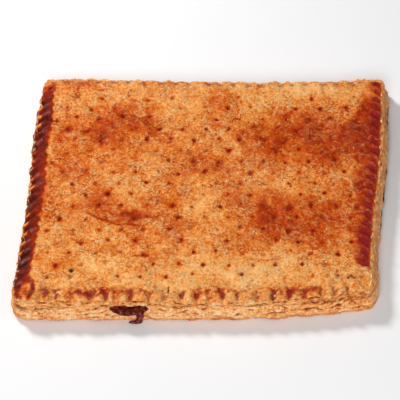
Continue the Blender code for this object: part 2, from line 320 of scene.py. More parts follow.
def inset_corner(corner, insets):
    """Where the two sides that meet at a corner cross once each has moved in by its own inset."""
    before, after = (corner - 1) % 4, corner
    normals = np.array((outward(before), outward(after)))
    offsets = normals @ CORNERS[corner] - insets[[before, after]]
    return np.linalg.solve(normals, offsets)


def side_wave(side, t):
    return sum(size * np.sin((k + 1) * math.pi * t) for k, size in enumerate(SIDE_WAVES[side]))


def end_fade(t, share):
    return np.clip(np.minimum(t, 1 - t) / share, 0.0, 1.0)


def corner_shares():
    return (np.arange(1, CORNER_COLUMNS) / CORNER_COLUMNS)[:, None]


def ring(inset, flare):
    """The place of every column of the outline, moved in by inset."""
    insets = inset + flare * FLARE
    corners = [inset_corner(corner, insets) for corner in range(4)]
    cuts = np.maximum(CORNER_CUT - inset, LEAST_CUT)
    stretches = []
    for side in range(4):
        first, last, following = (corners[(side + k) % 4] for k in range(3))
        run = (last - first) / np.linalg.norm(last - first)
        start, end = first + run * cuts[side], last - run * cuts[(side + 1) % 4]
        t = np.linspace(0.0, 1.0, round(side_length(side) / COLUMN))[:, None]
        stretches.append(start + t * (end - start) + outward(side) * side_wave(side, t))
        after = last + (following - last) / np.linalg.norm(following - last) * cuts[(side + 1) % 4]
        t = corner_shares()
        stretches.append((end * (1 - t) + last * t) * (1 - t) + (last * (1 - t) + after * t) * t)
    return np.concatenate(stretches)


def column_normals():
    """The direction out of the pie at every column, turning evenly round the corners."""
    stretches = []
    for side in range(4):
        here, there = outward(side), outward((side + 1) % 4)
        stretches.append(np.tile(here, (round(side_length(side) / COLUMN), 1)))
        turned = here * (1 - corner_shares()) + there * corner_shares()
        stretches.append(turned / np.linalg.norm(turned, axis=1)[:, None])
    return np.concatenate(stretches)


def side_place(side, x, y):
    """(distance in from a side's wandering edge, share of the way along it) of each point."""
    dx, dy = x - CORNERS[side][0], y - CORNERS[side][1]
    ax, ay = along(side)
    share = (dx * ax + dy * ay) / side_length(side)
    inwards = -(dx * outward(side)[0] + dy * outward(side)[1])
    return inwards + side_wave(side, np.clip(share, 0.0, 1.0)), share


def side_distances(x, y):
    """How far in each point lies from the foot of the four sides."""
    return [side_place(side, x, y)[0] for side in range(4)]


def edge_distance(x, y):
    return np.minimum.reduce(side_distances(x, y))


def top_insets(x, y):
    """How far in each point of the top lies from the top edge of the four sides."""
    return [distance - flare for distance, flare in zip(side_distances(x, y), FLARE)]


def seam_height(x, y):
    nearest = np.minimum.reduce([np.hypot(x - cx, y - cy) for cx, cy in CORNERS])
    waver = SEAM_WAVE * solid_noise(x / SEAM_GRAIN, y / SEAM_GRAIN, 6.0)
    return SEAM - SEAM_DIP * bell(nearest / SEAM_DIP_REACH) + waver


def top_height(x, y):
    edge = edge_distance(x, y)
    rise = CROWN * smooth((edge - RIM_INSET) / CROWN_REACH)
    swell = SWELL * solid_noise(x / SWELL_GRAIN, y / SWELL_GRAIN, 3.0)
    return RIM_TOP + rise + swell * smooth((edge - RIM_INSET) / 10)


def back_notches():
    places = [Vector((k * 1.7, 5.0, 0.0)) for k in range(BACK_NOTCH_COUNT)]
    jitters = [BACK_NOTCH_JITTER * noise.noise(place) for place in places]
    return [(k - BACK_NOTCH_COUNT / 2) * BACK_NOTCH_PITCH + jitter for k, jitter in enumerate(jitters)]


def pricks():
    """Centres of the docker holes, with a strength from 0 to 1 for each."""
    holes = []
    for row in range(-11, 12):
        for column in range(-9, 10):
            seed = Vector((column * 3.1, row * 2.3, 8.0))
            x = PRICK_START[0] + (column + 0.5 * (row % 2)) * PRICK_PITCH
            y = PRICK_START[1] + row * PRICK_ROW
            x += PRICK_JITTER * noise.noise(seed) + PRICK_SLANT * y
            y += PRICK_JITTER * noise.noise(seed + Vector((0.0, 0.0, 9.0)))
            if edge_distance(np.array(x), np.array(y)) > PRICK_CLEAR:
                strength = 0.6 + 0.4 * TABLE[(row * 37 + column) % TABLE.size]
                holes.append((x, y, strength))
    return holes


# ---- Relief ----

def crimp_turns(side, x, y, inset):
    """How many of a rim's crimps, which lean back, lie before each point, and how they fade at the ends."""
    _, share = side_place(side, x, y)
    cut_first, cut_last = CORNER_CUT[side], CORNER_CUT[(side + 1) % 4]
    run = side_length(side) - cut_first - cut_last
    t = (share * side_length(side) - cut_first) / run
    towards_back = 1.0 if side == RIGHT else -1.0
    lean = CRIMP_LEAN * np.interp(inset, (2.0, 6.5, 14.0), (0.0, 0.5, 1.0))
    t = t - towards_back * lean * end_fade(t, LEAN_FADE) / run
    return t * round(run / CRIMP_PITCH), end_fade(t, CRIMP_FADE)


def through(values, phase):
    """A smooth closed curve through values spread evenly over a crimp, at a phase from 0 to 1."""
    closed = np.array(values + values[:1])
    step = np.minimum(np.floor(phase * len(values)).astype(int), len(values) - 1)
    share = smooth(phase * len(values) - step)
    return closed[step] * (1 - share) + closed[step + 1] * share


def notch(side, x):
    centres = FRONT_NOTCHES if side == FRONT else back_notches()
    return np.maximum.reduce([bell((x - centre) / NOTCH_WIDTH) for centre in centres])


def rim_relief(x, y, crimped):
    """(rise, push outwards) of the rim's crimps and notches at points of the rim."""
    insets = top_insets(x, y)
    nearest = np.argmin(insets, axis=0)
    rise, push = np.zeros(x.shape), np.zeros(x.shape)
    for side in (LEFT, RIGHT):
        here = (nearest == side) * crimped
        turns, fade = crimp_turns(side, x, y, insets[side])
        rise += here * fade * through(CRIMP_RISE, turns % 1.0)
        push += here * fade * through(CRIMP_PUSH, turns % 1.0)
    drop = 1 - smooth((insets[LEFT] - LIP_INSET) / LEFT_DROP_REACH)
    rise -= (nearest == LEFT) * LEFT_DROP * crimped * drop
    for side in (FRONT, BACK):
        pressed = (nearest == side) * crimped * notch(side, x)
        rise -= NOTCH_DEPTH[side] * pressed
        push -= NOTCH_PUSH * pressed
    puffed = (nearest == FRONT) * crimped * (1 - smooth(1.3 * notch(FRONT, x)))
    puffed = puffed * bell((insets[FRONT] - 4) / 5)
    return rise + LOBE_RISE * puffed, push + LOBE_PUSH * puffed


def wall_wobble(x, y, z):
    """The solids' own unevenness of the wall, outwards."""
    return LAYER_RELIEF * solid_noise(x / WALL_GRAIN, y / WALL_GRAIN, z / 3) * (z > 0)


def laminae(x, y, z):
    """The wall's layers: (how far they stand out, tone from 0 in a crevice to 1 on a pale edge). The dark
    crevices and scale borders are painted shade, and the paler raised parts are partly pale edges and partly
    painted highlight.
    """
    level = z / 3.9 + 1.1 * field(x / 23, y / 23, 0.0, 31) + 0.8 * field(x / 7, y / 7, z / 6, 32)
    layer = np.floor(level + 0.5)
    torn = field(x / 3.4, y / 3.4, layer * 1.7, 33)
    puff = field(x / 6, y / 6, z / 4, 36)
    crumb = field(x / 1.7, y / 1.7, z, 34)
    parted = smooth(0.2 + 1.8 * field(x / 5.5, y / 5.5, layer * 2.3, 35) + 0.5 * torn)
    crevice = bell((level - layer) / 0.11) * parted
    run = x + y + 2.2 * field(x / 6, y / 6, z / 3, 29)
    border, height = cells(run, 1.8 * z + 2 * field(x / 7, y / 7, z / 5, 30), 5.4, 27)
    scale_edge = bell(border / 0.4) * smooth(0.2 + 1.6 * height + torn)
    push = 0.35 * torn + 0.5 * puff + 0.3 * crumb + 0.6 * height * smooth(border) - crevice
    # paler where the layers stand out: partly pale edges, partly painted highlight
    tone = 0.68 + 0.12 * torn + 0.14 * puff + 0.2 * crumb + 0.12 * height
    # painted shade in the crevices and along the borders of the scales
    return push, np.clip(tone - 0.66 * crevice - 0.36 * scale_edge, 0.0, 1.0)


def line_distance(x, y, ends):
    """Distance of each point to a bent line."""
    nearest = np.full(x.shape, 1e9)
    for (x0, y0), (x1, y1) in zip(ends, ends[1:]):
        run_x, run_y = x1 - x0, y1 - y0
        t = np.clip(((x - x0) * run_x + (y - y0) * run_y) / (run_x ** 2 + run_y ** 2), 0.0, 1.0)
        nearest = np.minimum(nearest, np.hypot(x - x0 - t * run_x, y - y0 - t * run_y))
    return nearest


def crust_fields(x, y):
    """(relief, pale ridges, grain, wrinkles) of the top's skin."""
    warp_x = x + 4.5 * octaves(x, y, 9, 41, 3)
    warp_y = y + 4.5 * octaves(x, y, 9, 44, 3)
    wrinkle = np.zeros(x.shape)
    for px, py, radius in BLISTERS:
        reach = np.hypot(warp_x - px, warp_y - py)
        wrinkle = np.maximum(wrinkle, bell((reach - radius) / 0.8))
    wrinkle = 0.8 * wrinkle * smooth(0.6 + 1.6 * octaves(x, y, 7, 50))
    for ends in VEINS:
        vein = bell(line_distance(warp_x, warp_y, ends))
        wrinkle = np.maximum(wrinkle, vein * smooth(1.2 + 1.4 * octaves(x, y, 6, 46)))
    crackle, _ = cells(warp_x, warp_y, 13, 47)
    lively = smooth(2.2 * octaves(x, y, 30, 48) + 0.05)
    broken = smooth(0.4 + 1.8 * octaves(x, y, 6, 49))
    wrinkle = np.maximum(wrinkle, 0.7 * bell(crackle / 0.6) * lively * broken)
    flake, height = cells(x + 3 * octaves(x, y, 4, 51), y + 3 * octaves(x, y, 4, 53), 4.6, 55)
    flake_edge = bell((flake - 0.2) / 0.4) * smooth(1.8 * height)
    curl = bell(octaves(x, y, 5, 38) / 0.07) * smooth(0.5 + 1.5 * octaves(x, y, 15, 39))
    grain = octaves(x, y, 2.6, 57)
    swell = octaves(x, y, 13, 59)
    lump = octaves(x, y, 6, 28)
    relief = 1.4 * swell + 0.5 * lump + 0.3 * height * smooth(flake) + 0.15 * grain
    relief += 0.9 * wrinkle + 0.3 * flake_edge + 0.4 * curl
    ridge = np.clip(wrinkle + 0.55 * flake_edge * smooth(0.6 + grain) + 0.65 * curl, 0.0, 1.0)
    return relief - 1, ridge, grain, wrinkle


def prick_fields(x, y):
    """(depth, darkness, brown halo) of the docker holes."""
    depth, dark, halo = np.zeros(x.shape), np.zeros(x.shape), np.zeros(x.shape)
    ragged = 1 + 0.5 * octaves(x, y, 2.2, 37)
    for number, (px, py, strength) in enumerate(pricks()):
        near = np.flatnonzero((abs(x - px) < 12) & (abs(y - py) < 12))
        reach = np.hypot(x[near] - px, 0.8 * (y[near] - py)) * ragged[near]
        wide = 2.1 + 0.7 * TABLE[700 + number]
        size = 1.3 + 0.35 * TABLE[900 + number]
        depth[near] += 0.7 * bell(reach / 4.6) + 0.6 * strength * bell(reach / 1.3)
        dark[near] = np.maximum(dark[near], strength * smooth(1.9 * bell(reach / size) - 0.2))
        halo[near] = np.maximum(halo[near], strength * bell(reach / wide))
    return depth, dark, halo


# ---- Meshes ----

def plan_shift():
    """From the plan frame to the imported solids' frame, in millimetres."""
    low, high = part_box("bottom_crust")
    belly = ring(BELLY[1], BELLY[2])
    middle = 0.5 * (belly.min(axis=0) + belly.max(axis=0))
    return np.array(((low.x + high.x) / 2 / MM - middle[0], (low.y + high.y) / 2 / MM - middle[1], 0.0))


def new_piece(name, points, faces, material, attributes, replaced):
    mesh = bpy.data.meshes.new(name)
    mesh.from_pydata(((points + plan_shift()) * MM).tolist(), [], faces)
    for key, values in attributes.items():
        mesh.attributes.new(key, "FLOAT", "POINT").data.foreach_set("value", values.astype(np.float32))
    mesh.shade_smooth()
    mesh.materials.append(material)
    mesh.validate()
    piece = bpy.data.objects.new(name, mesh)
    bpy.context.scene.collection.objects.link(piece)
    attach(piece, "root")
    if replaced:
        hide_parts(replaced)
    return piece


def curve_point(a, b, c, d, t):
    """The value at t, from 0 to 1, between b and c on a smooth curve that runs on to a and d."""
    square, cube = 2 * a - 5 * b + 4 * c - d, 3 * b - a - 3 * c + d
    return 0.5 * (2 * b + (c - a) * t + square * t ** 2 + cube * t ** 3)


def between(levels, steps):
    """Rings between the levels on a smooth curve through them: a list of [height, inset, flare, crimped]."""
    rings = []
    for number, count in enumerate(steps):
        nearby = [levels[min(max(number + k, 0), len(levels) - 1)] for k in (-1, 0, 1, 2)]
        for step in range(count):
            rings.append([curve_point(*values, step / count) for values in zip(*nearby)])
    return rings + [list(levels[-1])]


def recess(x, z, out):
    """How far the wall steps back around the burst."""
    across, up = (x - BURST_CENTRE[0]) / BURST_RADII[0], (z - BURST_CENTRE[2]) / (BURST_RADII[2] - 0.3)
    return BURST_RECESS * smooth(1.6 * (1 - (across ** 2 + up ** 2))) * (out[:, 1] < -0.9)


def wall_rings(levels, steps):
    """Rings of points up the wall and the tone of their layers: (rings, columns, 3) and (rings, columns)."""
    out = column_normals()
    rings, tones = [], []
    for height, inset, flare, crimped in between(levels, steps):
        x, y = ring(inset, flare).T
        z = np.broadcast_to(height, x.shape)
        rise, push = rim_relief(x, y, crimped) if crimped > 0 else (0.0, 0.0)
        wall = 1 - smooth((z - 21) / 1.4)  # the wall's relief gives way to the top's
        stand, tone = laminae(x, y, z)
        plain = 1 - 0.6 * smooth((out[:, 0] - 0.7) / 0.2) * smooth((z - 9) / 3)  # the cut side is smoother
        stand, tone = stand * plain, 0.6 + (tone - 0.6) * plain
        layers = (stand - 0.3) * smooth(z / 0.8)
        push = push + (wall_wobble(x, y, z) + layers) * wall - recess(x, z, out)
        rings.append(np.stack((x + out[:, 0] * push, y + out[:, 1] * push, z + rise), axis=1))
        tones.append(tone)
    return np.array(rings), np.array(tones)


def ring_faces(rings, columns):
    """Quads between rings of points numbered ring by ring, facing outwards."""
    faces = []
    for lower in range(rings - 1):
        for column in range(columns):
            following = (column + 1) % columns
            a, b = lower * columns + column, lower * columns + following
            faces.append((a, b, b + columns, a + columns))
    return faces


def cover(boundary, inner, first, next_free, facing_up):
    """Faces of a flat cover over a ring numbered from first, with inner points numbered from next_free."""
    count = len(boundary)
    flat = [Vector(point) for point in np.concatenate((boundary[:, :2], inner[:, :2]))]
    edges = [(k, (k + 1) % count) for k in range(count)]
    _, _, faces, origins, _, _ = delaunay_2d_cdt(flat, edges, [list(range(count))], 1, 1e-7)
    numbers = [origin[0] + (first if origin[0] < count else next_free - count) for origin in origins]
    return [[numbers[k] for k in (face if facing_up else face[::-1])] for face in faces]


def hidden_points(inset):
    """A plain grid under or over the filling, further in than the inset."""
    steps = np.arange(-160.0, 165.0, HIDDEN_GRID)
    x, y = (v.ravel() for v in np.meshgrid(steps, steps))
    kept = edge_distance(x, y) > inset
    return x[kept], y[kept]


def cuff(x, y, height, gap=0.0):
    """Points from the seam at the rim to the given height over or under the filling."""
    share = smooth((edge_distance(x, y) - CUFF_INSETS[0]) / (CUFF_INSETS[1] - CUFF_INSETS[0]))
    seam = seam_height(x, y)
    return np.column_stack((x, y, seam + (height - seam) * share + gap))


def top_points():
    """Points across the top inside the rim: an even grid, and two circles round each docker hole."""
    rows = []
    for row, y in enumerate(np.arange(-125.0, 135.0, GRID * GRID_ROW)):
        x = np.arange(-150.0, 155.0, GRID) + 0.5 * GRID * (row % 2)
        rows.append(np.column_stack((x, np.full(x.shape, y))))
    grid = np.concatenate(rows)
    inside = np.minimum.reduce(top_insets(*grid.T)) > RIM_INSET + 0.6 * GRID
    circles = []
    angles = np.arange(HOLE_POINTS) * 2.0 * math.pi / HOLE_POINTS
    for px, py, _ in pricks():
        inside &= np.hypot(grid[:, 0] - px, grid[:, 1] - py) > HOLE_CLEAR
        circles.append(np.array(((px, py),)))
        for radius in HOLE_RINGS:
            circles.append(np.column_stack((px + radius * np.cos(angles), py + radius * np.sin(angles))))
    return np.concatenate([grid[inside]] + circles)


# ---- Browning ----

def browning_and_painted_light(x, y):
    """How far each point of the top is baked, from 0, pale, to 1, burnt, with the painted shadow and painted
    sheen of some patches in it.
    """
    baked_and_painted_light = np.full(x.shape, MEAN_BAKED)
    warp_x, warp_y = 9 * octaves(x, y, 22, 61), 9 * octaves(x, y, 22, 64)
    for px, py, reach_x, reach_y, strength in TOAST_AND_PAINTED_LIGHT:
        across, up = (x - px + warp_x) / reach_x, (y - py + warp_y) / reach_y
        baked_and_painted_light += strength * np.exp(-(across ** 2 + up ** 2))
    baked_and_painted_light += 0.18 * octaves(x, y, 26, 67) + 0.05 * octaves(x, y, 8, 71)
    return baked_and_painted_light - 0.5 * np.maximum(baked_and_painted_light - 0.62, 0.0)


def rim_place(side, x, y):
    """(distance in from the top edge, share of the way along, phase of the crimp, number of the crimp)."""
    edge, share = side_place(side, x, y)
    edge = edge - FLARE[side]
    turns, _ = crimp_turns(side, x, y, edge)
    number = np.floor(turns).astype(int)
    return edge, share, turns % 1.0, TABLE[(number + 100 * side) % TABLE.size]


def in_crimp(phase, shift, width):
    """A bell over the phase of a crimp, running on from its end to its start."""
    return bell(((phase + shift) % 1.0 - 0.5) / width)


def left_band(x, y):
    """(band, how burnt it is, painted glints) of the left rim: dark and glazed, with pale lips at the outer
    edge. The glints are painted highlights along the edges of the crimps' ridges.
    """
    edge, share, phase, vary = rim_place(LEFT, x, y)
    wide = np.interp(share, (0.0, 0.05, 0.5, 0.8, 1.0), (10.0, 14.2, 15.4, 14.6, 11.5))
    wide = wide + 2 * octaves(x, y, 10, 81, 3) + 0.8 * np.sin(2 * math.pi * phase)
    end = 0.928 + 0.0028 * np.clip(edge, 0.0, 10.0)  # the band ends sooner at its outer edge
    band = smooth((wide - edge) / 1.2) * smooth((share - 0.02) / 0.05) * smooth((end - share) / 0.02)
    ridge = in_crimp(phase, 0.46, 0.16)
    hollow = bell((phase - 0.52) / 0.26) * smooth((12.5 - edge) / 3)
    reach = 4.6 + 1.6 * vary + 1.4 * octaves(x, y, 5, 83)
    lip = smooth((reach - edge) / 1.6) * ridge * smooth(0.7 + 1.6 * vary)
    patch = octaves(x, y, 12, 84)
    inner = smooth((edge - wide + 5) / 4)
    # painted shade: darker in the crimps' hollows, and a little darker on the ridges against the light that
    # falls on them
    burnt = 0.88 + 0.07 * hollow + 0.03 * ridge - 0.08 * inner + 0.07 * patch - 0.66 * lip
    # painted highlight: thin glints along the edges of the crimps' ridges
    edge_of_ridge = in_crimp(phase, 0.3, 0.09) + 0.6 * in_crimp(phase, 0.66, 0.07)
    painted_glint = edge_of_ridge * smooth(0.25 + 1.8 * octaves(x, y, 5.5, 82))
    painted_glint = painted_glint * smooth((edge - 2.5) / 2) * (1 - inner)
    return band, burnt - 0.06 * smooth((0.13 - share) / 0.09), painted_glint * band * (1 - lip)


def right_prints(x, y):
    """(browned zone, dark prints) of the right rim."""
    edge, share, phase, vary = rim_place(RIGHT, x, y)
    run = smooth((share - 0.075) / 0.05) * smooth((0.985 - share) / 0.03)
    wide = 22 + 14 * bell((share - 0.66) / 0.2) + 9 * octaves(x, y, 18, 86)
    zone = smooth((wide - edge) / 15) * run * smooth((edge - 1.6) / 2)
    reach = 4.4 + vary
    strong = bell((share - 0.2) / 0.13)
    ragged = 0.05 * octaves(x, y, 4, 88)
    oval = smooth(1.7 * bell((phase - 0.54 + ragged) / 0.27))
    dark = bell((edge - 7.6) / (reach + 1.4 * strong)) ** 1.4 * oval * run
    strength = 0.95 + 0.25 * vary + 0.35 * octaves(x, y, 16, 85)
    solid = (0.14 + 0.36 * strong) * bell((edge - 7.5) / 5.2) * run
    return zone, np.maximum(dark * (strength + 0.5 * strong), solid)


def front_prints(x, y):
    """(purple prints, haze between them) of the front rim."""
    edge = side_place(FRONT, x, y)[0] - FLARE[FRONT]
    warp_x = x + 2.6 * octaves(x, y, 5, 74, 3)
    warp_edge = edge + 3.2 * octaves(x, y, 5, 76, 3)
    worn = smooth(0.95 + 1.5 * octaves(x, y, 2.8, 78))
    prints = np.zeros(x.shape)
    for number, centre in enumerate(FRONT_NOTCHES):
        length, middle = 4.2 + 1.8 * TABLE[500 + number], 8.6
        if number < LONG_PRINTS:
            length, middle, centre = 7.0, 11.5, centre + 3
        taper = np.clip(0.5 + 0.26 * warp_edge, 0.7, 4.2)  # a print is wider at its inner end
        reach = (warp_edge - middle) / np.where(warp_edge > middle, 0.9 * length, 1.4 * length)
        print_here = PRINT_STRENGTHS[number] * bell((warp_x - centre) / taper) * bell(reach)
        prints = np.maximum(prints, print_here)
    run = sum(strength * bell((x - centre) / reach) for centre, reach, strength in HAZES)
    run = np.clip(run * (0.75 + 0.6 * octaves(x, y, 8, 89)), 0.0, 1.0)
    return prints * worn, bell((warp_edge - 11.4) / 3.4) * run * worn


def corner_tongue(x, y):
    """(dark surround, pale middle) of the fold pressed into the front left corner."""
    u, v = (x - TONGUE[0]) / 5.2, (y - TONGUE[1]) / 9.5
    reach = np.hypot(u, v) + 0.25 * octaves(x, y, 4, 93, 3)
    flank = smooth(1.7 * abs(u) / np.maximum(reach, 0.5))
    surround = np.minimum(1.2 * bell((reach - 1.2) / 0.5), 1.0) * (0.25 + 0.75 * flank)
    return surround, smooth((0.9 - reach) / 0.5)


def spots(x, y):
    """Small burnt holes and nicks in the top skin."""
    dark = np.zeros(x.shape)
    for px, py, reach_x, reach_y in BURNT_SPOTS:
        dark = np.maximum(dark, smooth(1.6 * bell(np.hypot((x - px) / reach_x, (y - py) / reach_y))))
    return dark


def folds(x, y):
    """Dark creases of the top skin, each a short bent line."""
    dark = np.zeros(x.shape)
    for x0, y0, x1, y1, sag, width in FOLDS:
        length = math.hypot(x1 - x0, y1 - y0)
        ux, uy = (x1 - x0) / length, (y1 - y0) / length
        t = ((x - x0) * ux + (y - y0) * uy) / length
        across = (y - y0) * ux - (x - x0) * uy + sag * np.sin(math.pi * np.clip(t, 0.0, 1.0))
        across = across + 1.4 * octaves(x, y, 7, 97)
        dark = np.maximum(dark, bell(across / width) * smooth(8 * t) * smooth(8 * (1 - t)))
    return dark


def top_looks(x, y, ridge, grain, dark, halo):
    """The masks that colour the top, by name."""
    insets = top_insets(x, y)
    nearest = np.argmin(insets, axis=0)
    # paler where the grain stands up and darker in its dips: partly pale lifted flakes, partly painted
    # highlight and painted shade
    baked_and_painted_light = browning_and_painted_light(x, y) + 0.36 * halo - 0.06 * grain + 0.24 * folds(x, y)
    zone, mark = right_prints(x, y)
    baked_and_painted_light = np.minimum(baked_and_painted_light + (0.24 + 0.04 * grain) * zone, 0.79)
    band, burnt, painted_glint = left_band(x, y)
    baked_and_painted_light = baked_and_painted_light * (1 - band) + burnt * band
    prints, haze = front_prints(x, y)
    mark = np.maximum(mark, np.maximum(prints, 0.7 * haze))
    baked_and_painted_light = baked_and_painted_light + 0.3 * haze
    surround, middle = corner_tongue(x, y)
    # the fold's middle is paler where the grain stands up, partly painted highlight
    baked_and_painted_light = np.maximum(baked_and_painted_light * (1 - 0.9 * middle) + (0.54 - 0.2 * grain) * middle, 0.9 * surround)
    back_marks = 0.5 * (nearest == BACK) * notch(BACK, x) * bell((insets[BACK] - 6) / 3)
    mark = np.maximum(mark * (1 - middle), back_marks)

    ragged = 1.8 * octaves(x, y, 4, 91)
    front = smooth((6.4 + ragged - insets[FRONT]) / 3) * (1 - 0.9 * surround) * (1 - middle)
    front = front * (1 - 0.85 * np.clip(prints, 0.0, 1.0))
    back = 0.85 * smooth((5.4 + 0.9 * ragged - insets[BACK]) / 3)
    right = 0.5 * smooth((3 + 0.4 * ragged - insets[RIGHT]) / 1.4)
    return {
        "baked_and_painted_light": baked_and_painted_light,
        "glaze": np.maximum(band, np.maximum(0.7 * zone, 0.8 * surround)),
        "mark": np.clip(mark, 0.0, 1.0),
        "painted_glint": painted_glint,
        "layers": np.maximum(np.maximum(front, back), right) * (1 - band),
        "ridge": ridge * (1 - band),
        "prick": dark,
        "hole": spots(x, y),
    }


def wall_char_and_shade(x, y, z, side):
    """Where a wall is dark: painted shade in the seam, char round the burst, and dark low on the right."""
    near_front = y < FRONT_STRIP
    split = 0.9 * bell((x - BURST_CENTRE[0] + 24) / 9) * near_front  # it has parted left of the burst too
    # painted shade in the seam's groove where the sheets meet, and in the opening where it has parted
    open_seam = np.clip(0.5 + 0.8 * octaves(x, y, 9, 98) + split, 0.0, 1.2)
    seam = bell((z - seam_height(x, y)) / 0.8) * open_seam
    across, up = (x - BURST_CENTRE[0]) / (BURST_RADII[0] + 0.5), (z - BURST_CENTRE[2]) / 2.4
    burst = smooth(3 * (1.05 - (across ** 2 + up ** 2))) * near_front
    # darker low on the right side
    right, share = side_place(RIGHT, x, y)
    low_right_dark = smooth((6 - right) / 3) * smooth((8.5 - z) / 4) * smooth((share - 0.3) / 0.12)
    low_right_dark = low_right_dark * (1 - 0.75 * smooth((share - 0.86) / 0.06))
    return side * np.clip(np.maximum(0.75 * seam, np.maximum(burst, 0.95 * low_right_dark)), 0.0, 1.0)


def right_front(x, sides):
    """How much darker the layers are towards the right end of the front wall."""
    return RIGHT_FRONT_TONE * (sides == FRONT) * smooth((x - 40) / 60)


# ---- Pieces ----

def seam_level(gap):
    """The level where a sheet ends at the seam."""
    x, y = ring(SEAM_INSET, SEAM_FLARE).T
    return (seam_height(x, y) + gap, SEAM_INSET + SEAM_TUCK, SEAM_FLARE, 0.0)


def with_hidden(looks, hidden):
    """The masks, with values for the hidden points at their end."""
    return {key: np.concatenate((values, hidden)) for key, values in looks.items()}


def make_top(material):
    rings, tones = wall_rings((seam_level(GAP),) + UPPER_LEVELS, UPPER_STEPS)
    count, columns, _ = rings.shape
    wall = rings.reshape(-1, 3)
    inner = top_points()
    inner = np.column_stack((inner, top_height(*inner.T)))
    x, y, z = np.concatenate((wall, inner)).T

    level = np.repeat(np.arange(count), columns)
    over = np.concatenate((smooth((level - SKIN_RINGS[0]) / SKIN_RINGS[1]), np.ones(len(inner))))
    relief, ridge, grain, wrinkle = crust_fields(x, y)
    depth, dark, halo = prick_fields(x, y)
    z = z + over * (relief - depth) - 0.5 * over * folds(x, y) - 1.2 * over * spots(x, y)
    looks = top_looks(x, y, ridge, grain, dark, halo)
    sides = np.argmin(top_insets(x, y), axis=0)
    side = np.concatenate((smooth((SIDE_RINGS[0] - level) / SIDE_RINGS[1]), np.zeros(len(inner))))
    looks["layers"] = np.maximum(looks["layers"] * (1 - side), side * SIDE_LAYERS[sides])
    side_tone = np.concatenate((tones.ravel(), np.full(len(inner), 0.6))) + SIDE_TONE[sides]
    side_tone = side_tone - right_front(x, sides)
    # the top's tone is paler where its grain and wrinkles stand up, partly painted highlight on the grain
    looks["tone"] = side_tone * side + (0.6 + 0.22 * grain + 0.2 * wrinkle) * (1 - side)
    looks["char_and_shade"] = wall_char_and_shade(x, y, z, side)
    outer = np.column_stack((x, y, z))

    under = cuff(*hidden_points(CUFF_INSETS[0]), CEILING, GAP)
    faces = ring_faces(count, columns)
    faces += cover(rings[-1], inner, (count - 1) * columns, len(wall), True)
    faces += cover(rings[0], under, 0, len(outer), False)
    points = np.concatenate((outer, under))
    looks = with_hidden(looks, np.zeros(len(under)))
    return new_piece("baked_top", points, faces, material, looks, "top_crust")


def make_bottom(material):
    rings, tones = wall_rings(LOWER_LEVELS + (seam_level(0.0),), LOWER_STEPS)
    count, columns, _ = rings.shape
    wall = rings.reshape(-1, 3)
    x, y, z = wall.T
    sides = np.argmin(side_distances(x, y), axis=0)
    lip = np.maximum(smooth((3.8 + 0.8 * octaves(x, y, 12, 99) - z) / 1.4), LOWER_BAKED[sides])
    tone = tones.ravel() + LOWER_TONE - right_front(x, sides)
    looks = {"tone": tone, "lip": lip, "char_and_shade": wall_char_and_shade(x, y, z, np.ones(x.shape))}

    floor = cuff(*hidden_points(CUFF_INSETS[0]), FLOOR)
    base = floor * (1.0, 1.0, 0.0)
    faces = ring_faces(count, columns)
    faces += cover(rings[-1], floor, (count - 1) * columns, len(wall), True)
    faces += cover(rings[0], base, 0, len(wall) + len(floor), False)
    points = np.concatenate((wall, floor, base))
    looks = with_hidden(looks, np.concatenate((np.zeros(len(floor)), np.ones(len(base)))))
    return new_piece("baked_bottom", points, faces, material, looks, "bottom_crust")


def plate(outer, towards):
    """A thin closed plate: a grid of outer points and the same grid moved towards its back."""
    rows, columns, _ = outer.shape
    points = np.concatenate((outer.reshape(-1, 3), (outer + towards).reshape(-1, 3)))
    count = rows * columns
    faces = []
    for row, column in itertools.product(range(rows - 1), range(columns - 1)):
        a = row * columns + column
        quad = (a, a + 1, a + columns + 1, a + columns)
        faces += [quad, tuple(k + count for k in quad[::-1])]
    rim = list(range(columns)) + [row * columns + columns - 1 for row in range(1, rows)]
    rim += list(range(count - 2, count - columns - 1, -1)) + [row * columns for row in range(rows - 2, 0, -1)]
    for a, b in zip(rim, rim[1:] + rim[:1]):
        faces.append((b, a, a + count, b + count))
    return points, faces


def wall_flakes(random):
    """Torn chips that stand out of the walls, each rooted along a few columns of one ring."""
    out = column_normals()
    lower, _ = wall_rings(LOWER_LEVELS, LOWER_STEPS[:3])
    upper, _ = wall_rings(UPPER_LEVELS[:2], UPPER_STEPS[1:2])
    rings = np.concatenate((lower[4:], upper))
    chosen = []
    while len(chosen) < WALL_FLAKES:
        level = random.integers(0, len(rings))
        column = random.integers(0, len(out))
        length = random.integers(2, 8)
        rise, stand, tone = random.uniform((0.5, 0.2, 0.55), (1.7, 1.1, 1.0))
        around = (column + np.arange(length + 1)) % len(out)
        base, normal = rings[level, around], out[around]
        if abs(base[0, 0] - BURST_CENTRE[0]) < BURST_RADII[0] + 4 and base[0, 1] < FRONT_STRIP:
            continue
        bow = 0.15 + 0.85 * np.sin(np.linspace(0.0, math.pi, length + 1)) ** 0.7
        bow = bow * random.uniform(0.6, 1.0, length + 1)
        rows = []
        for share in (0.0, 0.5, 1.0):
            reach = (stand + 0.4) * share ** 1.4 * bow - 0.4
            place = base[:, :2] + normal * reach[:, None]
            rows.append(np.column_stack((place, base[:, 2] + rise * share * bow)))
        back = np.column_stack((-normal * FLAKE_THICKNESS, np.zeros(length + 1)))
        chosen.append((*plate(np.array(rows), back), tone))
    return chosen


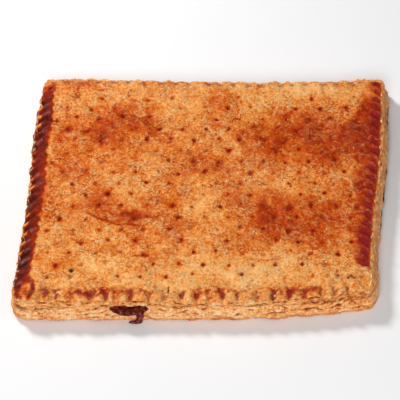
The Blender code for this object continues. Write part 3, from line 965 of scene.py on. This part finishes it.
def top_flakes(random):
    """Small curled chips on the top, most of them where its skin is wrinkled."""
    x, y = random.uniform((-150.0, -128.0), (150.0, 136.0), (TOP_FLAKE_CHOICES, 2)).T
    inside = np.minimum.reduce(top_insets(x, y)) > RIM_INSET + 2
    inside &= side_place(LEFT, x, y)[0] > 20
    relief, ridge, _, _ = crust_fields(x, y)
    depth, _, _ = prick_fields(x, y)
    height = top_height(x, y) + relief - depth
    darker = 0.9 * np.maximum(browning_and_painted_light(x, y) - MEAN_BAKED, 0.0)
    order = np.argsort(-(0.35 * ridge + random.uniform(0.0, 1.0, len(x)) - 9 * ~inside))
    chosen = []
    for k in order[:TOP_FLAKES]:
        angle = random.uniform(0.0, 2 * math.pi)
        length, width, lift, tone = random.uniform((1.2, 0.5, 0.1, 0.5), (3.2, 1.3, 0.4, 0.8))
        along_flake = np.array((math.cos(angle), math.sin(angle)))
        across = np.array((-along_flake[1], along_flake[0]))
        t = np.linspace(-0.5, 0.5, 5)
        rows = []
        for share in (0.0, 0.5, 1.0):
            wide = width * share * (1 - 3 * t ** 2) * random.uniform(0.8, 1.0, 5)
            flat = np.array((x[k], y[k])) + np.outer(t * length, along_flake) + np.outer(wide, across)
            up = (lift + 0.2) * share ** 1.5 * (1 - 2 * t ** 2)
            rows.append(np.column_stack((flat, height[k] - 0.2 + up)))
        down = np.array((0.0, 0.0, -FLAKE_THICKNESS))
        chosen.append((*plate(np.array(rows), down), tone - darker[k]))
    return chosen


def make_flakes(name, chosen, material):
    points, faces, tones = [], [], []
    for flake_points, flake_faces, tone in chosen:
        faces += [[k + len(points) for k in face] for face in flake_faces]
        points += flake_points.tolist()
        tones += [tone] * len(flake_points)
    return new_piece(name, np.array(points), faces, material, {"tone": np.array(tones)}, None)


def add_bead(bm, centre, radii, segments):
    made = bmesh.ops.create_uvsphere(bm, u_segments=segments, v_segments=segments // 2, radius=1.0)
    for vertex in made["verts"]:
        vertex.co = Vector([centre[k] + vertex.co[k] * radii[k] for k in range(3)])


def remeshed(bm, voxel):
    """The beads of a bmesh fused into one skin: its points and faces."""
    mesh = bpy.data.meshes.new("beads")
    bm.to_mesh(mesh)
    bm.free()
    beads = bpy.data.objects.new("beads", mesh)
    bpy.context.scene.collection.objects.link(beads)
    remesh = beads.modifiers.new("fuse", "REMESH")
    remesh.mode = "VOXEL"
    remesh.voxel_size = voxel
    relax = beads.modifiers.new("relax", "SMOOTH")
    relax.iterations = 4
    fused = beads.evaluated_get(bpy.context.evaluated_depsgraph_get()).to_mesh()
    points = np.array([vertex.co for vertex in fused.vertices])
    faces = [list(face.vertices) for face in fused.polygons]
    bpy.data.objects.remove(beads)
    return points, faces


def make_filling(material):
    """The slab between the sheets, and the burst with its bubbles and its drip."""
    bm = bmesh.new()
    radius_x, radius_y, radius_z = BURST_RADII
    add_bead(bm, BURST_CENTRE, (radius_x, 0.97 * radius_y, 0.86 * radius_z), 32)
    for centre, radii in DRIP_BEADS:
        add_bead(bm, centre, radii, 20)
    random = np.random.default_rng(5)
    for _ in range(BUBBLES):
        angle = random.uniform(-1.15, 1.15)
        size = random.uniform(0.5, 1.2) * (0.3 + 0.7 * math.cos(angle)) * (0.85 + 0.35 * math.sin(angle))
        x = BURST_CENTRE[0] + 0.92 * radius_x * math.sin(angle)
        y = BURST_CENTRE[1] - 0.9 * radius_y * math.cos(angle)
        z = BURST_CENTRE[2] + random.uniform(-0.45, 0.5) * radius_z * math.cos(angle)
        add_bead(bm, (x, y, z), (size, size, 0.8 * size), 12)
    points, faces = remeshed(bm, BURST_VOXEL)
    x, y, z = points.T
    points[:, 1] += 0.25 * field(x / 1.3, z / 1.3, y / 1.3, 95)
    points[:, 2] = np.maximum(points[:, 2], 0.1)

    inner = hidden_points(SLAB_INSET)
    rim = ring(SLAB_RIM, 1.0)[::6].T
    low_rim, high_rim = cuff(*rim, FLOOR, GAP), cuff(*rim, CEILING)
    low, high = cuff(*inner, FLOOR, GAP), cuff(*inner, CEILING)
    columns = len(low_rim)
    slab = ring_faces(2, columns)
    slab += cover(low_rim, low, 0, 2 * columns, False)
    slab += cover(high_rim, high, columns, 2 * columns + len(low), True)
    faces += [[k + len(points) for k in face] for face in slab]
    points = np.concatenate((points, low_rim, high_rim, low, high))
    return new_piece("burnt_filling", points, faces, material, {}, "filling")


# ---- Materials, with colours as they show on a screen, 0 to 255 ----

CRUST_STOPS = (
    (0.00, (255, 208, 148)),
    (0.18, (255, 188, 112)),
    (0.36, (241, 150, 66)),
    (0.52, (222, 111, 32)),
    (0.66, (200, 72, 10)),
    (0.78, (168, 42, 4)),
    (0.88, (132, 36, 14)),
    (1.00, (70, 20, 14)),
)
LAYER_STOPS = (
    (0.08, (112, 44, 16)),
    (0.28, (192, 98, 42)),
    (0.50, (238, 148, 76)),
    (0.72, (253, 184, 110)),
    (0.95, (255, 222, 168)),
)
LIP_STOPS = ((0.3, (158, 80, 38)), (0.5, (222, 136, 70)), (0.68, (244, 174, 104)))
FILLING_STOPS = ((0.3, (26, 8, 8)), (0.48, (74, 20, 17)), (0.6, (146, 44, 26)), (0.76, (205, 98, 52)))
FLOOR_STOPS = ((0.0, (246, 246, 247)), (1.0, (251, 250, 250)))
RIDGE_COLOUR = (255, 202, 134)
MARK_COLOUR = (146, 32, 36)
# colour of the painted highlights on the left rim
PAINTED_GLINT_COLOUR = (180, 122, 118)
PRICK_COLOUR = (128, 20, 4)
HOLE_COLOUR = (52, 14, 6)
CHAR_AND_SHADE_COLOUR = (58, 20, 10)
LOWER_CHAR_AND_SHADE_COLOUR = (56, 22, 14)


def linear(red, green, blue):
    """A screen's colour in the linear values that a shader takes."""
    shares = [channel / 255.0 for channel in (red, green, blue)]
    return tuple(v / 12.92 if v < 0.04045 else ((v + 0.055) / 1.055) ** 2.4 for v in shares) + (1.0,)


class Paint:
    """A material under construction, with short calls for the nodes that the crusts share."""

    def __init__(self, name):
        self.material = bpy.data.materials.new(name)
        self.material.use_nodes = True
        self.tree = self.material.node_tree
        self.shader = self.tree.nodes["Principled BSDF"]
        self.place = self.tree.nodes.new("ShaderNodeTexCoord").outputs["Object"]

    def node(self, kind, settings, values):
        made = self.tree.nodes.new(kind)
        for key, value in settings.items():
            setattr(made, key, value)
        for key, value in values.items():
            if isinstance(value, bpy.types.NodeSocket):
                self.tree.links.new(value, made.inputs[key])
            else:
                made.inputs[key].default_value = value
        return made

    def mask(self, name):
        return self.node("ShaderNodeAttribute", {"attribute_name": name}, {}).outputs["Fac"]

    def stretched(self, scale):
        return self.node("ShaderNodeMapping", {}, {"Vector": self.place, "Scale": scale}).outputs["Vector"]

    def noise(self, scale, detail=3.0, roughness=0.55, place=None):
        values = {"Vector": place or self.place, "Scale": scale, "Detail": detail, "Roughness": roughness}
        return self.node("ShaderNodeTexNoise", {}, values).outputs[0]

    def math(self, operation, first, second=0.0):
        return self.node("ShaderNodeMath", {"operation": operation}, {0: first, 1: second}).outputs[0]

    def plus(self, first, second):
        return self.math("ADD", first, second)

    def times(self, first, second):
        return self.math("MULTIPLY", first, second)

    def spread(self, value, low, high, to_low, to_high):
        values = {"Value": value, "From Min": low, "From Max": high, "To Min": to_low, "To Max": to_high}
        return self.node("ShaderNodeMapRange", {}, values).outputs[0]

    def ramp(self, value, stops):
        made = self.node("ShaderNodeValToRGB", {}, {"Fac": value})
        elements = made.color_ramp.elements
        while len(elements) < len(stops):
            elements.new(0.5)
        for element, (position, colour) in zip(elements, stops):
            element.position = position
            element.color = linear(*colour)
        return made.outputs["Color"]

    def over(self, share, under, colour):
        values = {0: share, 6: under, 7: colour}
        return self.node("ShaderNodeMix", {"data_type": "RGBA"}, values).outputs[2]

    def bump(self, height, strength, distance, under=None):
        values = {"Height": height, "Strength": strength, "Distance": distance}
        if under:
            values["Normal"] = under
        return self.node("ShaderNodeBump", {}, values).outputs["Normal"]

    def finish(self, colour, roughness, normal):
        for key, socket in (("Base Color", colour), ("Roughness", roughness), ("Normal", normal)):
            self.tree.links.new(socket, self.shader.inputs[key])
        return self.material


def layer_colour(paint):
    """Pale dough, darker in the crevices between its layers, where the tone carries painted shade."""
    streaks = paint.noise(1.0, 3.0, 0.6, paint.stretched((160.0, 160.0, 600.0)))
    specks = paint.noise(560.0, 3.0, 0.6)
    tone = paint.plus(paint.mask("tone"), paint.spread(streaks, 0.3, 0.7, -0.2, 0.2))
    tone = paint.plus(tone, paint.spread(specks, 0.3, 0.7, -0.24, 0.24))
    return paint.ramp(tone, LAYER_STOPS)


def threads(paint, bent, level, width):
    """Thin bent lines along one level of a noise, 1 on a line and 0 away from it."""
    away = paint.math("ABSOLUTE", paint.math("SUBTRACT", bent, level))
    return paint.spread(away, 0.0, width, 1.0, 0.0)


def golden_crust():
    paint = Paint("golden_crust")
    baked_and_painted_light, glaze = paint.mask("baked_and_painted_light"), paint.mask("glaze")
    unburnt = paint.spread(baked_and_painted_light, 0.5, 0.72, 1.0, 0.4)
    lively = paint.spread(paint.noise(50.0, 2.0, 0.5), 0.36, 0.64, 0.55, 1.0)
    lively = paint.times(paint.times(lively, paint.spread(glaze, 0.0, 1.0, 1.0, 0.15)), unburnt)
    coarse = paint.spread(paint.noise(110.0, 4.0, 0.6), 0.3, 0.7, -0.09, 0.09)
    # painted highlight and shade: the noise that bumps the skin also colours it, paler on its bumps and
    # darker in its hollows
    height = paint.noise(380.0, 4.0, 0.62)
    painted_bump_shading = paint.spread(height, 0.36, 0.68, 0.13, -0.19)
    flecks = paint.spread(paint.noise(700.0, 1.0, 0.6), 0.45, 0.7, 0.05, -0.26)
    bent = paint.noise(280.0, 2.0, 0.5)
    broken = paint.spread(paint.noise(100.0, 2.0, 0.5), 0.44, 0.6, 0.08, 1.0)
    # pale bent lines, partly pale raised lines and partly painted highlight, each with a dark line beside it
    # that is a painted shadow
    pale_lines_and_glints = paint.times(threads(paint, bent, 0.56, 0.05), broken)
    painted_shadow_lines = paint.times(threads(paint, bent, 0.44, 0.05), broken)
    mottle = paint.math("SUBTRACT", paint.plus(painted_bump_shading, flecks), paint.times(pale_lines_and_glints, 0.62))
    mottle = paint.times(paint.plus(mottle, paint.times(painted_shadow_lines, 0.2)), lively)
    colour = paint.ramp(paint.plus(baked_and_painted_light, paint.plus(coarse, mottle)), CRUST_STOPS)

    ridge = paint.times(paint.mask("ridge"), paint.spread(paint.noise(520.0), 0.38, 0.58, 0.3, 1.0))
    colour = paint.over(paint.times(ridge, unburnt), colour, linear(*RIDGE_COLOUR))
    mark = paint.plus(paint.plus(paint.mask("mark"), coarse), paint.times(painted_bump_shading, 0.6))
    colour = paint.over(paint.spread(mark, 0.08, 0.6, 0.0, 0.9), colour, linear(*MARK_COLOUR))
    colour = paint.over(paint.mask("layers"), colour, layer_colour(paint))
    # painted highlight: glints over the left rim
    painted_glint = paint.times(paint.mask("painted_glint"), paint.spread(paint.noise(420.0), 0.36, 0.56, 0.1, 0.75))
    colour = paint.over(painted_glint, colour, linear(*PAINTED_GLINT_COLOUR))
    # the last mask holds char round the burst and painted shade in the wall's seam
    for name, dark in (("prick", PRICK_COLOUR), ("hole", HOLE_COLOUR), ("char_and_shade", CHAR_AND_SHADE_COLOUR)):
        colour = paint.over(paint.mask(name), colour, linear(*dark))
    roughness = paint.spread(baked_and_painted_light, 0.5, 0.9, 0.38, 0.26)
    normal = paint.bump(height, 1.0, 0.0015)
    normal = paint.bump(pale_lines_and_glints, 1.0, 0.0006, normal)
    paint.shader.inputs["Specular IOR Level"].default_value = 0.05
    return paint.finish(colour, roughness, normal)


def pale_crust():
    paint = Paint("pale_crust")
    streak = paint.noise(1.0, 3.0, 0.6, paint.stretched((110.0, 110.0, 600.0)))
    colour = paint.over(paint.mask("lip"), layer_colour(paint), paint.ramp(streak, LIP_STOPS))
    # the dark mask holds char round the burst and painted shade in the wall's seam
    colour = paint.over(paint.mask("char_and_shade"), colour, linear(*LOWER_CHAR_AND_SHADE_COLOUR))
    roughness = paint.spread(streak, 0.3, 0.7, 0.65, 0.85)
    grain = paint.noise(1.0, 4.0, 0.6, paint.stretched((300.0, 300.0, 1000.0)))
    paint.shader.inputs["Specular IOR Level"].default_value = 0.25
    return paint.finish(colour, roughness, paint.bump(grain, 0.8, 0.0008))


def torn_flakes():
    paint = Paint("torn_flakes")
    roughness = paint.spread(paint.noise(500.0), 0.3, 0.7, 0.4, 0.7)
    normal = paint.bump(paint.noise(900.0, 3.0, 0.6), 0.5, 0.0004)
    paint.shader.inputs["Specular IOR Level"].default_value = 0.3
    return paint.finish(layer_colour(paint), roughness, normal)


def burnt_filling():
    paint = Paint("burnt_filling")
    tone = paint.noise(450.0, 3.0, 0.6)
    roughness = paint.spread(tone, 0.3, 0.7, 0.25, 0.55)
    normal = paint.bump(paint.noise(800.0, 3.0, 0.6), 0.6, 0.0005)
    paint.shader.inputs["Specular IOR Level"].default_value = 0.2
    return paint.finish(paint.ramp(tone, FILLING_STOPS), roughness, normal)


def studio_floor():
    paint = Paint("studio_floor")
    tone = paint.noise(6.0, 2.0, 0.5)
    roughness = paint.spread(tone, 0.0, 1.0, 0.7, 0.8)
    return paint.finish(paint.ramp(tone, FLOOR_STOPS), roughness, paint.bump(tone, 0.02, 0.001))


# ---- Stage, in metres ----

CAMERA_AIM = Vector((-0.0055, -0.0030, 0.0091))
CAMERA_ELEVATION = math.radians(46.0)
CAMERA_DISTANCE = 2.4
CAMERA_LENS = 254.9
LIGHT_AIM = (0.0, 0.0, 0.01)
# Lights: name, place, size, power
LIGHTS = (
    ("key", (-0.75, 0.75, 1.0), 0.32, 15.2),
    ("front_fill", (-0.2, -1.5, 1.2), 0.8, 19.2),
    ("right_fill", (1.6, -0.3, 0.8), 0.8, 4.4),
)
WORLD_STRENGTH = 0.15


def make_floor():
    bm = bmesh.new()
    bmesh.ops.create_grid(bm, x_segments=8, y_segments=8, size=4.0)
    mesh = bpy.data.meshes.new("floor")
    bm.to_mesh(mesh)
    bm.free()
    mesh.materials.append(studio_floor())
    floor = bpy.data.objects.new("floor", mesh)
    bpy.context.scene.collection.objects.link(floor)


def aimed(obj, place, target):
    obj.location = place
    obj.rotation_mode = "QUATERNION"
    obj.rotation_quaternion = (Vector(target) - Vector(place)).to_track_quat("-Z", "Y")
    bpy.context.scene.collection.objects.link(obj)


def make_stage():
    make_floor()
    for name, place, size, power in LIGHTS:
        light = bpy.data.lights.new(name, "AREA")
        light.shape = "DISK"
        light.size = size
        light.energy = power
        aimed(bpy.data.objects.new(name, light), place, LIGHT_AIM)
    world = bpy.data.worlds.new("studio")
    world.use_nodes = True
    background = world.node_tree.nodes["Background"]
    background.inputs["Color"].default_value = (1.0, 1.0, 1.0, 1.0)
    background.inputs["Strength"].default_value = WORLD_STRENGTH
    bpy.context.scene.world = world
    bpy.context.scene.view_settings.view_transform = "Standard"
    camera = bpy.data.cameras.new("camera")
    camera.lens = CAMERA_LENS
    camera.sensor_width = 36.0
    back = Vector((0.0, -math.cos(CAMERA_ELEVATION), math.sin(CAMERA_ELEVATION)))
    view = bpy.data.objects.new("camera", camera)
    aimed(view, CAMERA_AIM + back * CAMERA_DISTANCE, CAMERA_AIM)
    bpy.context.scene.camera = view


make_stage()
make_top(golden_crust())
make_bottom(pale_crust())
make_filling(burnt_filling())
FLAKE_RANDOM = np.random.default_rng(11)
FLAKE_CRUST = torn_flakes()
make_flakes("wall_flakes", wall_flakes(FLAKE_RANDOM), FLAKE_CRUST)
make_flakes("top_flakes", top_flakes(FLAKE_RANDOM), FLAKE_CRUST)
